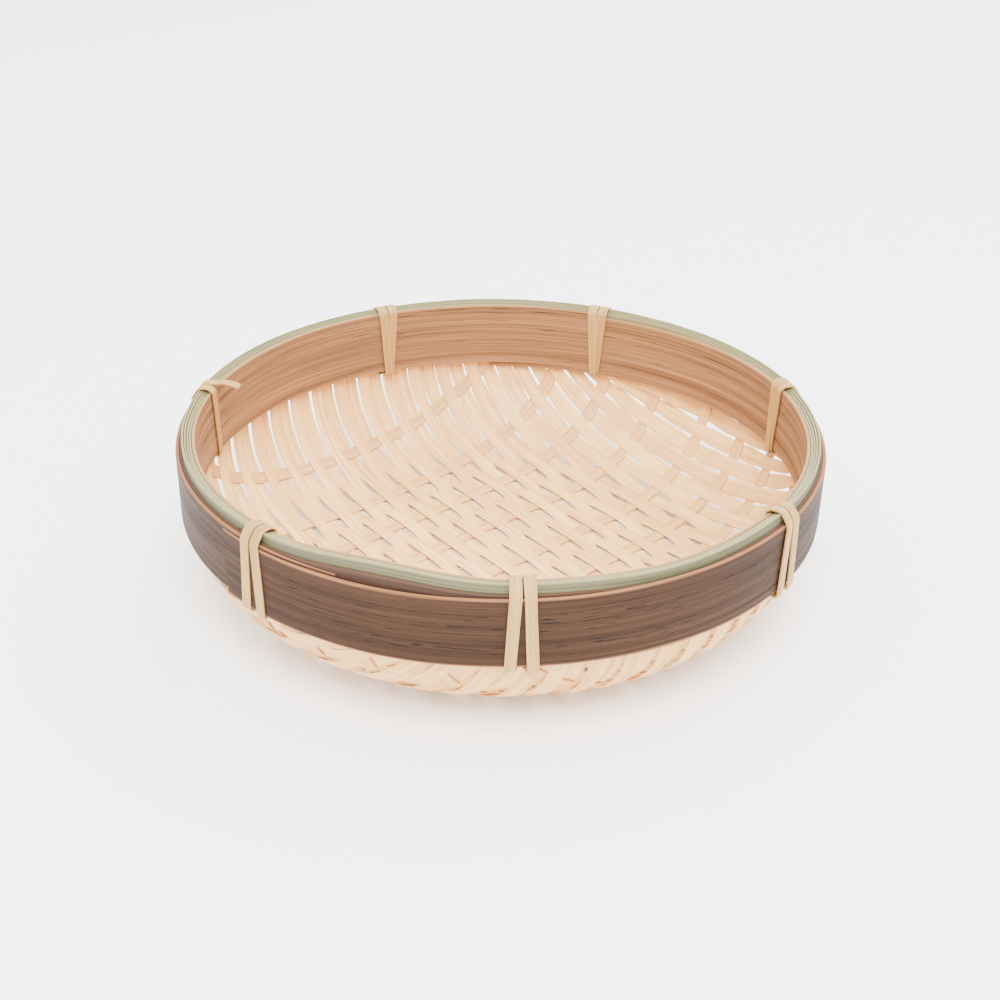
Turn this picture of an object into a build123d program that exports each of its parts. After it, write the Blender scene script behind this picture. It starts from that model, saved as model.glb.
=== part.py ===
"""A shallow woven bamboo winnowing basket.

Thin splints are woven into a flat-bottomed bowl. The bowl's edge is clamped between two bent hoops,
with a backing hoop behind the outer one and thin filler splints closing the gap on top of the cut
splint ends. Seven flat splint ties, each wound twice over the rim, hold the rim together.

The basket stands on the plane z = 0, with its axis on Z. The warp splints run along Y and the weft
splints roughly along X. Lengths are in millimetres and angles in degrees.
"""

from bisect import bisect_left
from math import acos, atan2, ceil, cos, degrees, dist, radians, sin, sqrt
import os

from build123d import *

# ---------- the rim ----------
RIM_RADIUS = 105.0  # outer face of the outer hoop, at its top edge
OUTER_HOOP_HEIGHT = 22.0
OUTER_HOOP_THICKNESS = 1.1
BACKING_HOOP_THICKNESS = 0.8
BACKING_HOOP_RISE = 0.2  # how far its top stands above the outer hoop's
BACKING_HOOP_DROP = 1.3  # how far its foot shows below the outer hoop's
INNER_HOOP_THICKNESS = 1.1
INNER_HOOP_HEIGHT = 23.2
INNER_HOOP_RISE = 2.4
CLAMP_GAP = 3.2  # room for the weave between the backing hoop and the inner hoop
RIM_LEAN = 0.6  # how far the hoops' sides lean outwards from upright
HOOP_CLEARANCE = 0.05

FILLER_LAYERS = 4
FILLER_HEIGHT = 9.0
FILLER_RISE = 3.4
FILLER_STEP_DOWN = 0.35  # each filler splint stands a little lower than the one outside it

LAP_ANGLE = 24.0  # where a hoop's two shaved ends lie over each other
LAP_TIP = 0.22  # thickness left at a shaved end, as a share of the hoop's thickness
OUTER_LAP_DROP = 1.0  # how far the outer hoop's upper end sags below the rest
INNER_LAP_DROP = 2.2
DROP_ANGLE = 75.0  # the drop is taken up over this much of the hoop
# between two ties the layers behind the outer hoop have crept up or down: (angle, height)
CREEPS = ((-147.0, 2.3), (-98.0, -0.9))
CREEP_REACH = 21.0  # angle to each side over which a creep dies out

# ---------- the bowl ----------
BOWL_DEPTH = 52.0  # outer hoop's top edge down to the middle of the floor's weave
FLOOR_RADIUS = 52.5  # where the flat floor starts to turn up
FLOOR_FULLNESS = 0.92  # how far out the floor runs before it bends, as a share of the way
WALL_FULLNESS = 0.17  # how far down the wall runs before it bends, as a share of its height

# ---------- the weave ----------
SPLINT_THICKNESS = 0.45
WARPS_PER_SIDE = 19  # on each side of the one through the middle
WARP_GAP = 0.3  # between neighbours
WIDEST_WARP = 6.2  # the outer warps are cut wider than the floor's, up to this
EDGE_GAP = 4.0  # from the outermost warp's middle to the hoops' feet, along the wall
WALL_SPREAD = 0.11  # share of the half-width by which warps fan apart up the wall
WEFT_WIDTH = 4.7
WEFT_COUNT = 9
WEFT_PITCH = 21.3  # across the floor
WEFT_SKEW = 5.5  # how far the wefts are turned from square to the warps
WEFT_WANDER = (-1.0, 1.0, 0.5, -2.0, -3.0, -0.5, -0.5, -2.0, 2.0)  # each weft's own slip in pitch
LAYER_GAP = 0.2  # between a warp and the weft that it crosses
END_TUCK = 14.0  # how far a splint's end runs on between the hoops
DRAW_IN = 0.55  # how strongly side splints turn to follow the wall, from 0 to 1
SWAP_START, SWAP_END = 0.3, 0.7  # where between two wefts a warp changes sides
REST_TRIM = 0.05  # worn off the lowest splints where the basket stands

# ---------- the ties ----------
TIE_NAMES = ("front", "front_right", "right", "back_right", "back_left", "left", "front_left")
TIE_ANGLES = (-123.9, -72.6, -20.7, 31.3, 78.4, 131.2, -170.2)
TIE_WIDTH = 3.5
TIE_THICKNESS = 0.5
TIE_CLEARANCE = 0.35
TIE_SPREAD_TOP = 2.05  # each strand's middle from the tie's middle
TIE_SPREAD_OUTSIDE = 3.3
TIE_SPREAD_INSIDE = 0.4
TIE_STUB = 1.6  # the tucked end
TIE_BEND = 0.9  # corner cut where a tie turns over an edge
LOOSE_TIE = "left"  # its second winding stops on the rim, as a loose tail
TAIL_REACH = 9.0  # how far the tail stands out over the bowl
TAIL_SWING = 3.0  # how far it points sideways

# ---------- sizes that follow from the ones above ----------
LAYER = SPLINT_THICKNESS + LAYER_GAP
FLOOR_Z = LAYER + SPLINT_THICKNESS / 2 - REST_TRIM
RIM_Z = FLOOR_Z + BOWL_DEPTH
FOOT_Z = RIM_Z - OUTER_HOOP_HEIGHT
FILLER_TOP = RIM_Z + FILLER_RISE
FILLER_FOOT = FILLER_TOP - FILLER_HEIGHT
SPLINT_TOP = FILLER_FOOT - FILLER_STEP_DOWN * FILLER_LAYERS - LAYER_GAP
CLAMP_DEPTH = OUTER_HOOP_THICKNESS + BACKING_HOOP_THICKNESS + 2 * HOOP_CLEARANCE
INNER_DEPTH = CLAMP_DEPTH + CLAMP_GAP + HOOP_CLEARANCE
RIM_DEPTH = INNER_DEPTH + INNER_HOOP_THICKNESS

STATIONS = 400  # samples of the bowl's section
ROUTE_STEPS = 120  # samples of half a splint's route
SPLINT_SECTIONS = 26  # lofted sections in half a splint
HOOP_STEP = 6.0  # angle between a hoop's lofted sections
CORNER_STEPS = 5

os.makedirs("parts", exist_ok=True)


def export(builder, name):
    """Label a finished piece and write its STEP file."""
    builder.part.label = name
    export_step(builder.part, f"parts/{name}.step")


def ease(share):
    """A smooth step from 0 to 1."""
    share = min(max(share, 0.0), 1.0)
    return share * share * (3 - 2 * share)


def lookup(x, xs, ys):
    """The value at x of a rising table, straight between its entries."""
    i = min(max(bisect_left(xs, x), 1), len(xs) - 1)
    share = (x - xs[i - 1]) / (xs[i] - xs[i - 1])
    return ys[i - 1] + share * (ys[i] - ys[i - 1])


def rim_radius(depth, z):
    """Radius of the rim's layer that lies depth inside its outer face, at height z."""
    return RIM_RADIUS - depth - (RIM_Z - z) * sin(radians(RIM_LEAN))


def around(radius, angle, z):
    """A point at an angle around the basket's axis."""
    return Vector(radius * cos(radians(angle)), radius * sin(radians(angle)), z)


# ---------- the bowl's section: floor, bend, then up between the hoops ----------
clamp_middle = CLAMP_DEPTH + CLAMP_GAP / 2
foot_radius = rim_radius(clamp_middle, FOOT_Z)
wall_run = WALL_FULLNESS * (FOOT_Z - FLOOR_Z)
with BuildLine(Plane.XZ) as bowl_section:
    Line((0, FLOOR_Z), (FLOOR_RADIUS, FLOOR_Z))
    Bezier(
        (FLOOR_RADIUS, FLOOR_Z),
        (FLOOR_RADIUS + FLOOR_FULLNESS * (foot_radius - FLOOR_RADIUS), FLOOR_Z),
        (rim_radius(clamp_middle, FOOT_Z - wall_run), FOOT_Z - wall_run),
        (foot_radius, FOOT_Z),
    )
    Line((foot_radius, FOOT_Z), (rim_radius(clamp_middle, SPLINT_TOP), SPLINT_TOP))

section = bowl_section.wire()
section_m = [section.length * i / STATIONS for i in range(STATIONS + 1)]
section_points = [section @ (i / STATIONS) for i in range(STATIONS + 1)]
section_tangents = [section % (i / STATIONS) for i in range(STATIONS + 1)]
section_r = [point.X for point in section_points]
section_z = [point.Z for point in section_points]
section_slope = [degrees(atan2(tangent.Z, tangent.X)) for tangent in section_tangents]
FOOT_M = lookup(FOOT_Z, section_z[STATIONS // 2 :], section_m[STATIONS // 2 :])


def bowl_normal(m, angle):
    """The bowl's normal, towards its inside, at distance m along the section."""
    slope = radians(lookup(m, section_m, section_slope))
    return Vector(-sin(slope) * cos(radians(angle)), -sin(slope) * sin(radians(angle)), cos(slope))


def bowl_point(m, angle):
    """A point of the weave's middle layer."""
    return around(lookup(m, section_m, section_r), angle, lookup(m, section_m, section_z))


def half_route(start_m):
    """Half a splint's way over the bowl, from its nearest point to the axis to one end.

    It is a list of (distance along the bowl's section, angle swept, length travelled). A straight
    cut through the bowl is mixed with the way that a strip laid on the wall would take.
    """
    start_r = lookup(start_m, section_m, section_r)
    draw_in = DRAW_IN * start_r / foot_radius
    end_root = sqrt(section.length - start_m)
    route = []
    extra = 0.0
    travelled = 0.0
    for i in range(ROUTE_STEPS + 1):
        root = end_root * i / ROUTE_STEPS
        m = start_m + root * root
        r = lookup(m, section_m, section_r)
        slope = radians(lookup(m, section_m, section_slope))
        if i and start_r > 0:
            reach = sqrt(max(r * r - start_r * start_r, 1e-6))
            step = end_root / ROUTE_STEPS
            extra += degrees(start_r / (r * reach) * (1 - cos(slope)) * 2 * root * step)
        swept = degrees(acos(min(start_r / r, 1.0))) if r > 0 else 90.0
        swept += draw_in * extra
        if route:
            before = bowl_point(route[-1][0], route[-1][1])
            travelled += (bowl_point(m, swept) - before).length
        if m > FOOT_M:
            foot_length = lookup(FOOT_M, [entry[0] for entry in route], [entry[2] for entry in route])
            if travelled - foot_length > END_TUCK:
                break
        route.append((m, swept, travelled))
    return route


def full_route(offset_m, heading):
    """A splint's whole way as (m, angle, signed length), running towards its heading.

    offset_m is how far along the bowl's section its middle lies to the right of the heading.
    """
    side = -90.0 if offset_m >= 0 else 90.0
    half = half_route(abs(offset_m))
    turn = 1.0 if offset_m >= 0 else -1.0
    back = [(m, heading + side - turn * swept, -length) for m, swept, length in half]
    forth = [(m, heading + side + turn * swept, length) for m, swept, length in half]
    return back[:0:-1] + forth


def flat(m, angle):
    """A bowl point laid flat: distance along the section from the middle, at the same angle."""
    return m * cos(radians(angle)), m * sin(radians(angle))


def crossings(warp, wefts):
    """Where a warp passes each weft, as (signed length, weft's number), from back to front."""
    found = []
    for number, (xs, ys) in enumerate(wefts):
        last = None
        for m, angle, length in warp:
            x, y = flat(m, angle)
            if not xs[0] <= x <= xs[-1]:
                last = None
                continue
            side = y - lookup(x, xs, ys)
            if last and (last[0] < 0) != (side < 0):
                share = last[0] / (last[0] - side)
                found.append((last[1] + share * (length - last[1]), number))
            last = (side, length)
    return sorted(found)


def warp_lift(length, passes):
    """How far a warp lies above the weave's middle layer, at a signed length along it."""
    before = [p for p in passes if p[0] <= length]
    after = [p for p in passes if p[0] > length]
    if not before:
        return LAYER * after[0][1] if after else 0.0
    if not after:
        return LAYER * before[-1][1]
    (start, low), (end, high) = before[-1], after[0]
    share = (length - start) / (end - start)
    return LAYER * (low + (high - low) * ease((share - SWAP_START) / (SWAP_END - SWAP_START)))


def splint_planes(route, lift_at):
    """Section planes along a splint: x across its width, y through its thickness."""
    lengths = [length for _, _, length in route]
    ms = [m for m, _, _ in route]
    angles = [angle for _, angle, _ in route]
    middle = lengths.index(0.0)
    stations = []
    for part in (slice(0, middle + 1), slice(middle, None)):
        ends = lengths[part][0], lengths[part][-1]
        for i in range(SPLINT_SECTIONS + 1):
            length = ends[0] + (ends[1] - ends[0]) * i / SPLINT_SECTIONS
            if stations and i == 0:
                continue
            m = lookup(length, lengths[part], ms[part])
            angle = lookup(length, lengths[part], angles[part])
            normal = bowl_normal(m, angle)
            stations.append((bowl_point(m, angle) + normal * lift_at(length), normal))
    planes = []
    for i, (point, normal) in enumerate(stations):
        ahead = stations[min(i + 1, len(stations) - 1)][0]
        behind = stations[max(i - 1, 0)][0]
        along = (ahead - behind).normalized()
        planes.append(Plane(point, x_dir=along.cross(normal), z_dir=along))
    return planes


# ---------- the ties' own frame: radius, way along the rim, height ----------
TIE_OFF = TIE_CLEARANCE + TIE_THICKNESS / 2
TIE_LOW = FOOT_Z - BACKING_HOOP_DROP - TIE_OFF - LAYER_GAP
INNER_TOP = RIM_Z + INNER_HOOP_RISE
INNER_LOW = INNER_TOP - INNER_HOOP_HEIGHT - TIE_OFF - LAYER_GAP
OUTSIDE_LOW = rim_radius(0, FOOT_Z) + TIE_OFF
INSIDE_LOW = rim_radius(RIM_DEPTH, FOOT_Z) - TIE_OFF
TIE_PITCH = TIE_THICKNESS + LAYER_GAP


def tie_point(tie_angle, radius, way, z):
    """A point beside a tie's middle, way measured along the rim."""
    return around(radius, tie_angle + degrees(way / RIM_RADIUS), z)


def tie_turn(side, layer):
    """One strand's corners from outside bottom over the rim to inside bottom."""
    top = side * TIE_SPREAD_TOP
    return [
        (OUTSIDE_LOW, side * TIE_SPREAD_OUTSIDE, TIE_LOW),
        (rim_radius(0, RIM_Z) + TIE_OFF, top, RIM_Z + TIE_OFF / 2),
        (rim_radius(CLAMP_DEPTH, RIM_Z), top, FILLER_TOP + TIE_OFF),
        (rim_radius(INNER_DEPTH, RIM_Z), top, FILLER_TOP + TIE_OFF),
        (rim_radius(RIM_DEPTH, RIM_Z) - TIE_OFF, top, INNER_TOP + TIE_OFF / 2),
        (INSIDE_LOW - layer * TIE_PITCH, side * TIE_SPREAD_INSIDE, INNER_LOW - layer * TIE_PITCH),
    ]


def tie_corners(name):
    """The whole tie's corners, from its start inside the weave to its tucked end."""
    middle = (OUTSIDE_LOW + INSIDE_LOW) / 2
    if name == LOOSE_TIE:
        start = (middle, TIE_SPREAD_OUTSIDE * 0.8, TIE_LOW)
        over = tie_turn(-1, 0)[:4]
        last = over[-1]
        tail = (last[0] - TAIL_REACH, last[1] - TAIL_SWING, last[2] + TIE_OFF)
        return [start, *tie_turn(1, 0), *over, tail]
    start = (middle, -TIE_SPREAD_OUTSIDE * 0.8, TIE_LOW)
    end = (INSIDE_LOW + TIE_STUB, TIE_SPREAD_INSIDE, INNER_LOW - TIE_PITCH)
    return [start, *tie_turn(-1, 0), *tie_turn(1, 1), end]


def rounded(corners, cut):
    """Cut each corner of a route back by up to cut and round it."""
    points = [Vector(*corner) for corner in corners]
    route = [points[0]]
    for before, corner, after in zip(points, points[1:], points[2:]):
        room = min(cut, (corner - before).length / 2.5, (after - corner).length / 2.5)
        start = corner + (before - corner).normalized() * room
        end = corner + (after - corner).normalized() * room
        for i in range(CORNER_STEPS):
            t = i / (CORNER_STEPS - 1)
            route.append(start * (1 - t) ** 2 + corner * 2 * t * (1 - t) + end * t**2)
    return [*route, points[-1]]


def tie_planes(name, tie_angle):
    """Section planes along a tie, its width along the rim."""
    route = [tie_point(tie_angle, *point) for point in rounded(tie_corners(name), TIE_BEND)]
    rim_way = Vector(-sin(radians(tie_angle)), cos(radians(tie_angle)), 0)
    planes = []
    for i, point in enumerate(route):
        along = (route[min(i + 1, len(route) - 1)] - route[max(i - 1, 0)]).normalized()
        across = (rim_way - along * rim_way.dot(along)).normalized()
        planes.append(Plane(point, x_dir=across, z_dir=along))
    return planes


def loft_strip(planes, widths, thickness):
    """Loft a flat strip through its section planes, into the part being made.

    widths holds the strip's width at each plane.
    """
    sections = []
    for plane, width in zip(planes, widths):
        with BuildSketch(plane) as outline:
            Rectangle(width, thickness)
        sections.append(outline.sketch)
    loft(sections, ruled=True)


# ---------- the weave ----------
half_span = FOOT_M - EDGE_GAP
warp_offsets = []
for k in range(-WARPS_PER_SIDE, WARPS_PER_SIDE + 1):
    share = k / WARPS_PER_SIDE
    warp_offsets.append(half_span * ((1 - WALL_SPREAD) * share + WALL_SPREAD * share**3))

weft_offsets = []
for j in range(WEFT_COUNT):
    weft_offsets.append((j - (WEFT_COUNT - 1) / 2) * WEFT_PITCH + WEFT_WANDER[j])

# a weft's heading is +X turned by the skew, so its offset is to the right, towards -Y
weft_routes = [full_route(-offset, WEFT_SKEW) for offset in weft_offsets]
flat_wefts = []
for route in weft_routes:
    laid = sorted(flat(m, angle) for m, angle, _ in route)
    flat_wefts.append(([x for x, _ in laid], [y for _, y in laid]))

for number, route in enumerate(weft_routes, start=1):
    with BuildPart() as weft:
        planes = splint_planes(route, lambda length: 0.0)
        loft_strip(planes, [WEFT_WIDTH] * len(planes), SPLINT_THICKNESS)
    export(weft, f"weft_{number}")

# a warp's heading is +Y, so its offset is to the right, towards +X
warp_routes = [full_route(offset, 90.0) for offset in warp_offsets]
warp_ways = [[tuple(bowl_point(m, angle)) for m, angle, _ in route] for route in warp_routes]


def warp_widths(index, planes):
    """A warp's width at each plane: what its neighbours leave free, up to the widest."""
    widths = []
    for plane in planes:
        spot = tuple(plane.origin)
        free = []
        for other in (index - 1, index + 1):
            if 0 <= other < len(warp_ways):
                free.append(min(dist(spot, point) for point in warp_ways[other]))
        widths.append(min(sum(free) / len(free) - WARP_GAP, WIDEST_WARP))
    return widths


for number, (offset, route) in enumerate(zip(warp_offsets, warp_routes), start=1):
    passes = []
    for length, weft_number in crossings(route, flat_wefts):
        passes.append((length, -1 if (number + weft_number) % 2 else 1))
    with BuildPart() as warp:
        planes = splint_planes(route, lambda length: warp_lift(length, passes))
        loft_strip(planes, warp_widths(number - 1, planes), SPLINT_THICKNESS)
        if abs(offset) < FLOOR_RADIUS:
            split(bisect_by=Plane.XY, keep=Keep.TOP)
    export(warp, f"warp_{number:02d}")


# ---------- the hoops ----------
def creep(angle):
    """How far the layers behind the outer hoop stand above their place, at an angle."""
    height = 0.0
    for middle, rise in CREEPS:
        away = abs((angle - middle + 180) % 360 - 180)
        height += rise * ease(1 - away / CREEP_REACH)
    return height


def hoop_plane(angle, depth, z):
    """A hoop's section plane: x through its thickness, y up its leaning side."""
    lean = radians(RIM_LEAN)
    out = around(1, angle, 0)
    across = out * cos(lean) - Vector(0, 0, sin(lean))
    tangent = around(1, angle + 90, 0)
    return Plane(around(rim_radius(depth, z), angle, z), x_dir=across, z_dir=tangent * -1)


def lapped_hoop(start_angle, turn, depth, thickness, foot, height, drop, lap_out):
    """A hoop whose shaved ends lie over each other.

    It starts under the lap at start_angle and goes round by turn (1 or -1). The last end lies on
    the first, outwards if lap_out is 1 and inwards if it is -1. depth is the middle of its wall.
    """
    tip = LAP_TIP * thickness
    count = ceil((360 + LAP_ANGLE) / HOOP_STEP)
    sections = []
    for i in range(count + 1):
        way = (360 + LAP_ANGLE) * i / count
        under = ease(way / LAP_ANGLE)
        over = ease((way - 360) / LAP_ANGLE)
        wall = (tip + (thickness - tip) * under) * (1 - over) + tip * over
        # the under end keeps its back face in place, and the over end rides up on it
        stand_off = (wall - thickness) / 2
        rise = (tip + HOOP_CLEARANCE) * ease((way - 360 + LAP_ANGLE) / LAP_ANGLE)
        rise += (thickness - tip) * over
        if lap_out < 0:
            sag = drop * (1 - ease(way / DROP_ANGLE))
        else:
            sag = drop * ease((way - 360 + DROP_ANGLE) / DROP_ANGLE)
        angle = start_angle + turn * way
        lift = creep(angle) if lap_out < 0 else 0.0
        plane = hoop_plane(
            angle,
            depth - lap_out * (stand_off + rise),
            foot + height / 2 - sag + lift,
        )
        with BuildSketch(plane) as outline:
            Rectangle(wall, height)
        sections.append(outline.sketch)
    loft(sections)


def open_ring(start_angle, depth, thickness, foot, height, foot_creeps):
    """A thin ring with a butt joint. Its top creeps, and so does its foot if foot_creeps is true."""
    joint = degrees(HOOP_CLEARANCE * 4 / RIM_RADIUS)
    count = ceil(360 / HOOP_STEP)
    sections = []
    for i in range(count + 1):
        angle = start_angle + joint + (360 - 2 * joint) * i / count
        low = foot + creep(angle) if foot_creeps else foot
        high = foot + height + creep(angle)
        with BuildSketch(hoop_plane(angle, depth, (low + high) / 2)) as outline:
            Rectangle(thickness, high - low)
        sections.append(outline.sketch)
    loft(sections)


with BuildPart() as outer_hoop:
    lapped_hoop(
        TIE_ANGLES[-1] + LAP_ANGLE * 0.7,
        -1,
        OUTER_HOOP_THICKNESS / 2,
        OUTER_HOOP_THICKNESS,
        FOOT_Z,
        OUTER_HOOP_HEIGHT,
        OUTER_LAP_DROP,
        1,
    )
export(outer_hoop, "outer_hoop")

with BuildPart() as backing_hoop:
    open_ring(
        TIE_ANGLES[1],
        OUTER_HOOP_THICKNESS + HOOP_CLEARANCE + BACKING_HOOP_THICKNESS / 2,
        BACKING_HOOP_THICKNESS,
        FOOT_Z - BACKING_HOOP_DROP,
        OUTER_HOOP_HEIGHT + BACKING_HOOP_RISE + BACKING_HOOP_DROP,
        False,
    )
export(backing_hoop, "backing_hoop")

with BuildPart() as inner_hoop:
    lapped_hoop(
        TIE_ANGLES[3] + LAP_ANGLE,
        -1,
        INNER_DEPTH + INNER_HOOP_THICKNESS / 2,
        INNER_HOOP_THICKNESS,
        RIM_Z + INNER_HOOP_RISE - INNER_HOOP_HEIGHT,
        INNER_HOOP_HEIGHT,
        INNER_LAP_DROP,
        -1,
    )
export(inner_hoop, "inner_hoop")

# ---------- filler splints, standing on the cut ends of the weave ----------
filler_pitch = CLAMP_GAP / FILLER_LAYERS
filler_names = ("filler_splints_outer", "filler_splints_inner")
for half, name in enumerate(filler_names):
    layers = range(half * FILLER_LAYERS // 2, (half + 1) * FILLER_LAYERS // 2)
    rings = []
    for layer in layers:
        with BuildPart() as ring:
            open_ring(
                TIE_ANGLES[layer],
                CLAMP_DEPTH + filler_pitch * (layer + 0.5),
                filler_pitch - HOOP_CLEARANCE,
                FILLER_FOOT - FILLER_STEP_DOWN * layer,
                FILLER_HEIGHT,
                True,
            )
        rings.append(ring.part)
    with BuildPart() as fillers:
        add(rings)
    export(fillers, name)

# ---------- the ties ----------
for name, tie_angle in zip(TIE_NAMES, TIE_ANGLES):
    with BuildPart() as tie:
        planes = tie_planes(name, tie_angle)
        loft_strip(planes, [TIE_WIDTH] * len(planes), TIE_THICKNESS)
    export(tie, f"tie_{name}")
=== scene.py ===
"""A shallow woven bamboo winnowing basket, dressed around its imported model.

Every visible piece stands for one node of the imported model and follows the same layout: thin splints
woven into a bowl, three bent hoops and four filler splints along the rim, and seven splint ties.
Sizes in the classes are in millimetres and degrees, and meshes are made in metres.
"""

import logging
import math
import random
from dataclasses import dataclass, field
from enum import Enum

import bpy
import numpy as np
from mathutils import Euler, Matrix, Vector


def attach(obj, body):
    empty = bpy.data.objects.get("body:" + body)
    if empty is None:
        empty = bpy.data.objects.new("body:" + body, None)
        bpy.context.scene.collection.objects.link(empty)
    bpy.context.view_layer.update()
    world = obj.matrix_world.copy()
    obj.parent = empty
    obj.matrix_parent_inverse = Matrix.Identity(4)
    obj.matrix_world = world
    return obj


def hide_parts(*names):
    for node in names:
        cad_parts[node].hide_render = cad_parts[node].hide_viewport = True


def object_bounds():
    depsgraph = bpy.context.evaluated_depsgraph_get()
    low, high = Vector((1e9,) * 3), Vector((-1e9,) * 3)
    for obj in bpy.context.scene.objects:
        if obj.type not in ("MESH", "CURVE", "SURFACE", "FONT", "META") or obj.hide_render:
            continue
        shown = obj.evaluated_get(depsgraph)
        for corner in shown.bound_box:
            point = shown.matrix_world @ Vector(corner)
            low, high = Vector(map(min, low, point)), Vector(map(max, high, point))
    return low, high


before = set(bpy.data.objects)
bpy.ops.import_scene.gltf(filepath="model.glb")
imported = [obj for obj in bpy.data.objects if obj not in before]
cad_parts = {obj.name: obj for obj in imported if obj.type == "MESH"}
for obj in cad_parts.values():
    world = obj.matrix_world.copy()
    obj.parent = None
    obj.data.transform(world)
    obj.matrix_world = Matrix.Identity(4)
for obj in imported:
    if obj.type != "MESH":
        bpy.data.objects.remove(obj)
CAD_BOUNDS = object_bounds()

LOG = logging.getLogger("winnowing_basket")
MM = 0.001
BODY = "root"
UV_LAYER = "fibre"
CUT_ATTRIBUTE = "cut"
PATTERN_ROOM = 3000, 600  # how far apart, along and across, the pieces' patterns may start
TIE_ANGLES = {
    "front": -123.9,
    "front_right": -72.6,
    "right": -20.7,
    "back_right": 31.3,
    "back_left": 78.4,
    "left": 131.2,
    "front_left": -170.2,
}

Array = np.ndarray
Amount = np.ndarray | float
Triple = tuple[float, float, float]
Piece = bpy.types.Object
Socket = bpy.types.NodeSocket


class Slot(Enum):
    """The record's material slots."""

    WARP = "warp_splint"
    WEFT = "weft_splint"
    OUTER = "outer_hoop"
    BACKING = "backing_hoop"
    INNER = "inner_hoop"
    FILLER = "filler"
    TIE = "tie"


class Face(Enum):
    """The side of a hoop that shows its relief."""

    OUTSIDE = 1
    INSIDE = -1


# ---------- small helpers ----------
def ease(share: Amount) -> Array:
    """A smooth step from 0 to 1."""
    share = np.clip(share, 0.0, 1.0)
    return share * share * (3 - 2 * share)


def around(radius: Amount, angle: Amount, z: Amount) -> Array:
    """Points at angles around the basket's axis.

    Args:
        radius: distance from the axis.
        angle: degrees from +X.
        z: height.

    Returns:
        An array whose last axis is x, y, z.
    """
    radius, angle, z = np.broadcast_arrays(radius, np.radians(angle), z)
    return np.stack([radius * np.cos(angle), radius * np.sin(angle), z], axis=-1)


def unit(vectors: Array) -> Array:
    """Vectors along the last axis, made one long."""
    return vectors / np.maximum(np.linalg.norm(vectors, axis=-1, keepdims=True), 1e-12)


def along_of(points: Array) -> Array:
    """Directions of travel along a row of points."""
    return unit(np.gradient(points, axis=0))


def wander(rng: random.Random, way: Array, longest: float, size: float) -> Array:
    """A slow random drift along a way.

    Args:
        rng: the source of the phases.
        way: distances along the piece.
        longest: the longest wave.
        size: the largest offset, roughly.

    Returns:
        One offset for each distance.
    """
    total = np.zeros_like(way, dtype=float)
    for share, weight in ((1.0, 0.55), (0.43, 0.3), (0.19, 0.15)):
        total += weight * np.sin(2 * math.pi * way / (longest * share) + rng.uniform(0, 2 * math.pi))
    return size * total


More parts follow.
